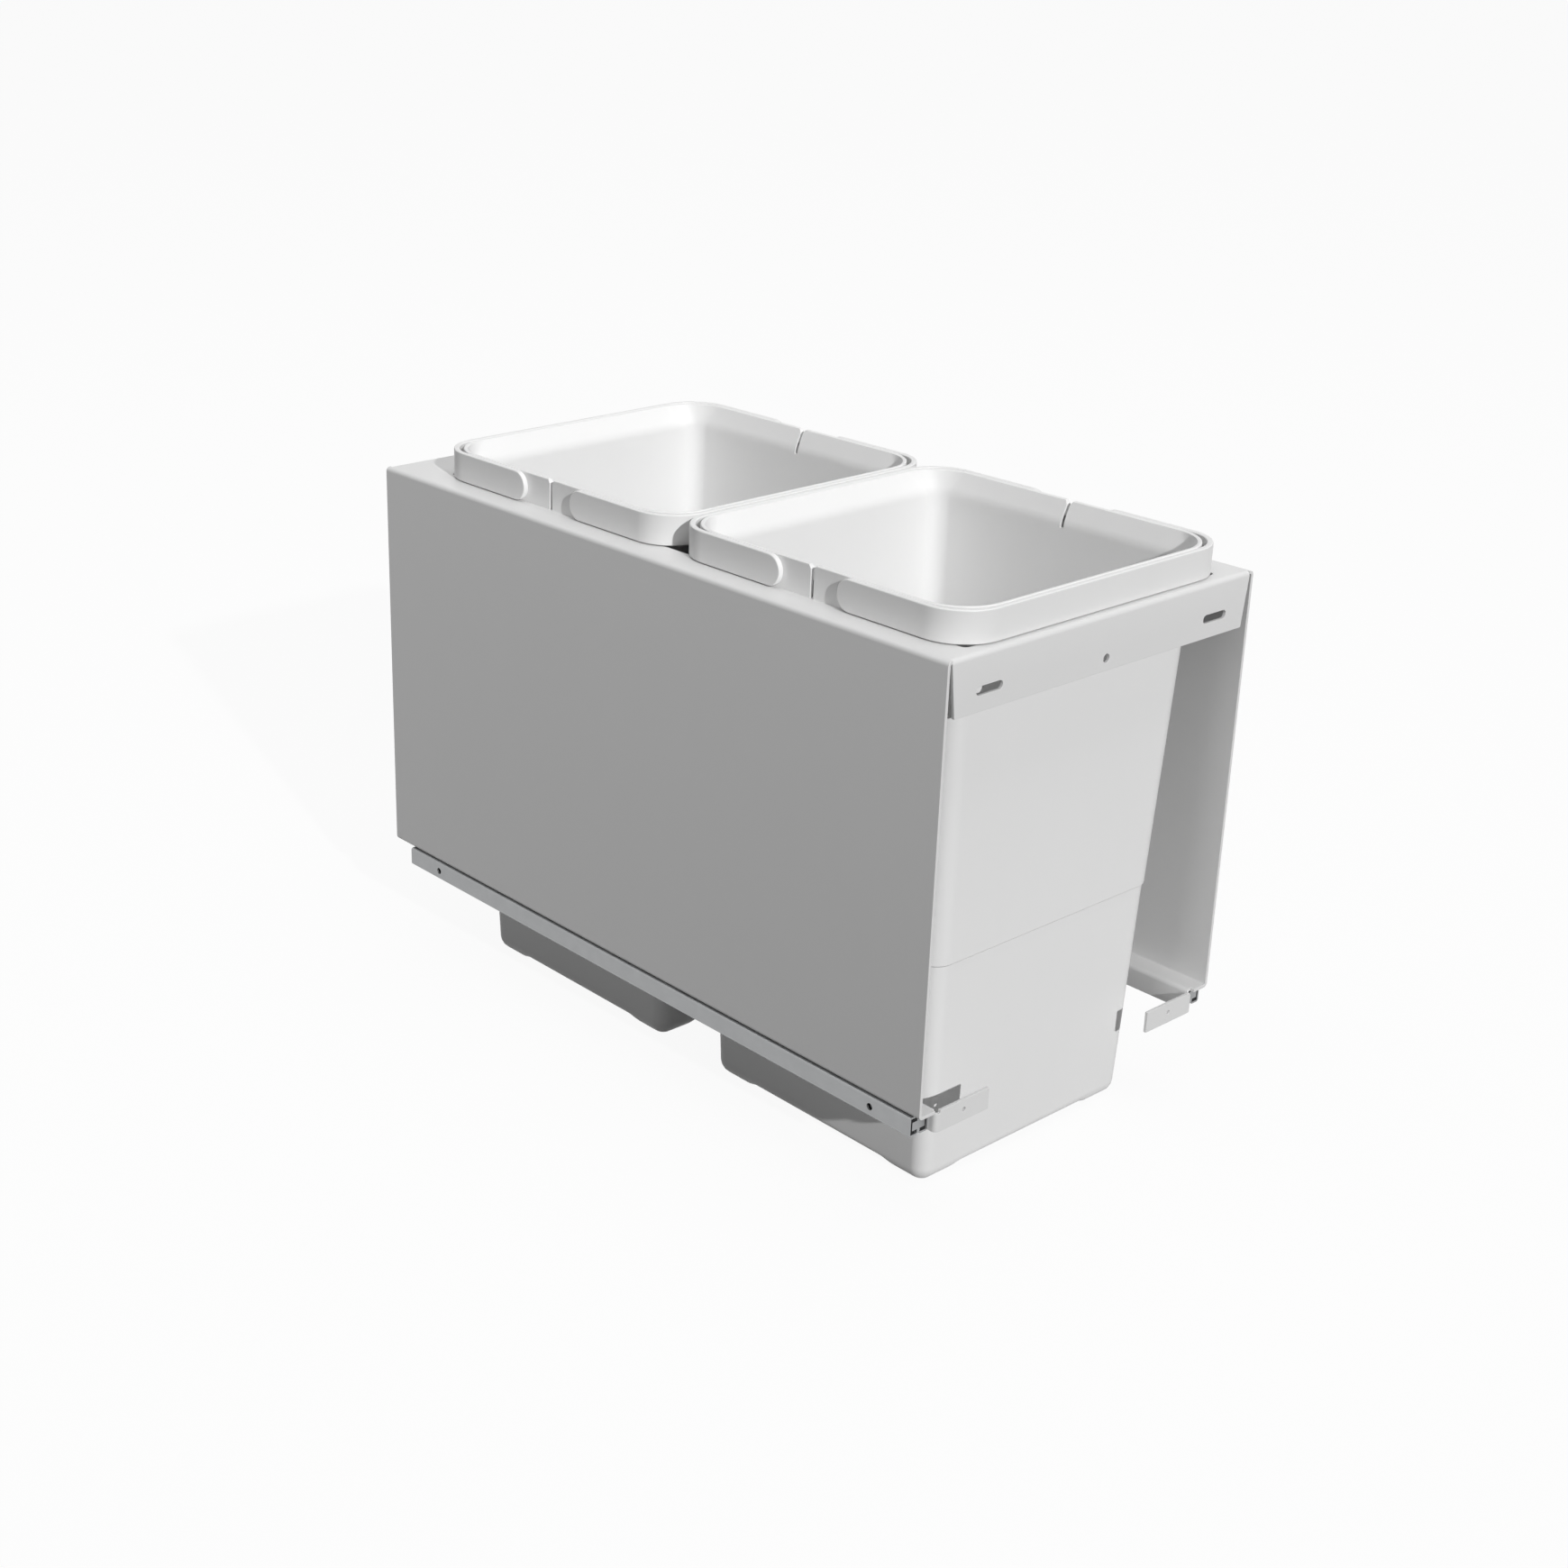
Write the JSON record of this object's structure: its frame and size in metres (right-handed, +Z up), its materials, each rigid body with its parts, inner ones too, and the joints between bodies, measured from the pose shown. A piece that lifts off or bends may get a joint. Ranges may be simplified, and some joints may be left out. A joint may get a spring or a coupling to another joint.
{
  "type": "pull out trash cabinet",
  "caption": "Folded steel pull-out frame with lift-out waste bins hanging in its top plate, folding hoop handles and full extension runners, for a narrow kitchen base cabinet.",
  "frame": {"origin": "middle of the two door slots, on the front face of the front flange", "axes": "X across the unit, -Y out of the cabinet towards the user, +Z up"},
  "size_m": [0.262, 0.505, 0.363],
  "materials": {
    "white_powder_coat": "smooth satin powder coat",
    "white_bin_plastic": "fine matt moulded plastic",
    "white_handle_plastic": "satin moulded plastic",
    "zinc_plated_steel": "dull zinc plating",
    "bearing_steel": "bright",
    "bumper_rubber": "matt"
  },
  "bodies": {
    "cabinet": {"left_cabinet_rail": "zinc_plated_steel", "right_cabinet_rail": "zinc_plated_steel", "left_stop_bumper": "bumper_rubber", "right_stop_bumper": "bumper_rubber"},
    "carriage": {"frame": "white_powder_coat", "left_drawer_rail": "zinc_plated_steel", "right_drawer_rail": "zinc_plated_steel"},
    "left_intermediate": {"left_intermediate_rail": "zinc_plated_steel"},
    "left_outer_cage": {"left_outer_roller_cage": "zinc_plated_steel", "left_outer_rollers": "bearing_steel"},
    "left_inner_cage": {"left_inner_roller_cage": "zinc_plated_steel", "left_inner_rollers": "bearing_steel"},
    "right_intermediate": {"right_intermediate_rail": "zinc_plated_steel"},
    "right_outer_cage": {"right_outer_roller_cage": "zinc_plated_steel", "right_outer_rollers": "bearing_steel"},
    "right_inner_cage": {"right_inner_roller_cage": "zinc_plated_steel", "right_inner_rollers": "bearing_steel"},
    "bin_front": {"bin_front": "white_bin_plastic"},
    "bin_front_handle_front": {"bin_front_handle_front": "white_handle_plastic"},
    "bin_front_handle_rear": {"bin_front_handle_rear": "white_handle_plastic"},
    "bin_rear": {"bin_rear": "white_bin_plastic"},
    "bin_rear_handle_front": {"bin_rear_handle_front": "white_handle_plastic"},
    "bin_rear_handle_rear": {"bin_rear_handle_rear": "white_handle_plastic"}
  },
  "joints": [
    {"name": "pull_out", "type": "slide", "parent": "cabinet", "child": "carriage", "axis": [0, -1, 0], "range_m": [0, 0.46]},
    {"name": "left_intermediate_slide", "type": "slide", "parent": "cabinet", "child": "left_intermediate", "axis": [0, -1, 0], "range_m": [0, 0.23]},
    {"name": "left_outer_cage_slide", "type": "slide", "parent": "cabinet", "child": "left_outer_cage", "axis": [0, -1, 0], "range_m": [0, 0.115]},
    {"name": "left_inner_cage_slide", "type": "slide", "parent": "cabinet", "child": "left_inner_cage", "axis": [0, -1, 0], "range_m": [0, 0.345]},
    {"name": "right_intermediate_slide", "type": "slide", "parent": "cabinet", "child": "right_intermediate", "axis": [0, -1, 0], "range_m": [0, 0.23]},
    {"name": "right_outer_cage_slide", "type": "slide", "parent": "cabinet", "child": "right_outer_cage", "axis": [0, -1, 0], "range_m": [0, 0.115]},
    {"name": "right_inner_cage_slide", "type": "slide", "parent": "cabinet", "child": "right_inner_cage", "axis": [0, -1, 0], "range_m": [0, 0.345]},
    {"name": "front_bin_lift", "type": "slide", "parent": "carriage", "child": "bin_front", "axis": [0, 0, 1], "range_m": [0, 0.37]},
    {"name": "front_bin_front_handle_swing", "type": "hinge", "parent": "bin_front", "child": "bin_front_handle_front", "pos_m": [0, 0.08865, 0.03175], "axis": [-1, 0, 0], "range_deg": [0, 105]},
    {"name": "front_bin_rear_handle_swing", "type": "hinge", "parent": "bin_front", "child": "bin_front_handle_rear", "pos_m": [0, 0.15235, 0.03175], "axis": [1, 0, 0], "range_deg": [0, 105]},
    {"name": "rear_bin_lift", "type": "slide", "parent": "carriage", "child": "bin_rear", "axis": [0, 0, 1], "range_m": [0, 0.37]},
    {"name": "rear_bin_front_handle_swing", "type": "hinge", "parent": "bin_rear", "child": "bin_rear_handle_front", "pos_m": [0, 0.32105, 0.03175], "axis": [-1, 0, 0], "range_deg": [0, 105]},
    {"name": "rear_bin_rear_handle_swing", "type": "hinge", "parent": "bin_rear", "child": "bin_rear_handle_rear", "pos_m": [0, 0.38475, 0.03175], "axis": [1, 0, 0], "range_deg": [0, 105]}
  ],
  "couplings": [
    {"joint": "left_intermediate_slide", "follows": "pull_out", "ratio": 0.5},
    {"joint": "left_outer_cage_slide", "follows": "pull_out", "ratio": 0.25},
    {"joint": "left_inner_cage_slide", "follows": "pull_out", "ratio": 0.75},
    {"joint": "right_intermediate_slide", "follows": "pull_out", "ratio": 0.5},
    {"joint": "right_outer_cage_slide", "follows": "pull_out", "ratio": 0.25},
    {"joint": "right_inner_cage_slide", "follows": "pull_out", "ratio": 0.75}
  ]
}
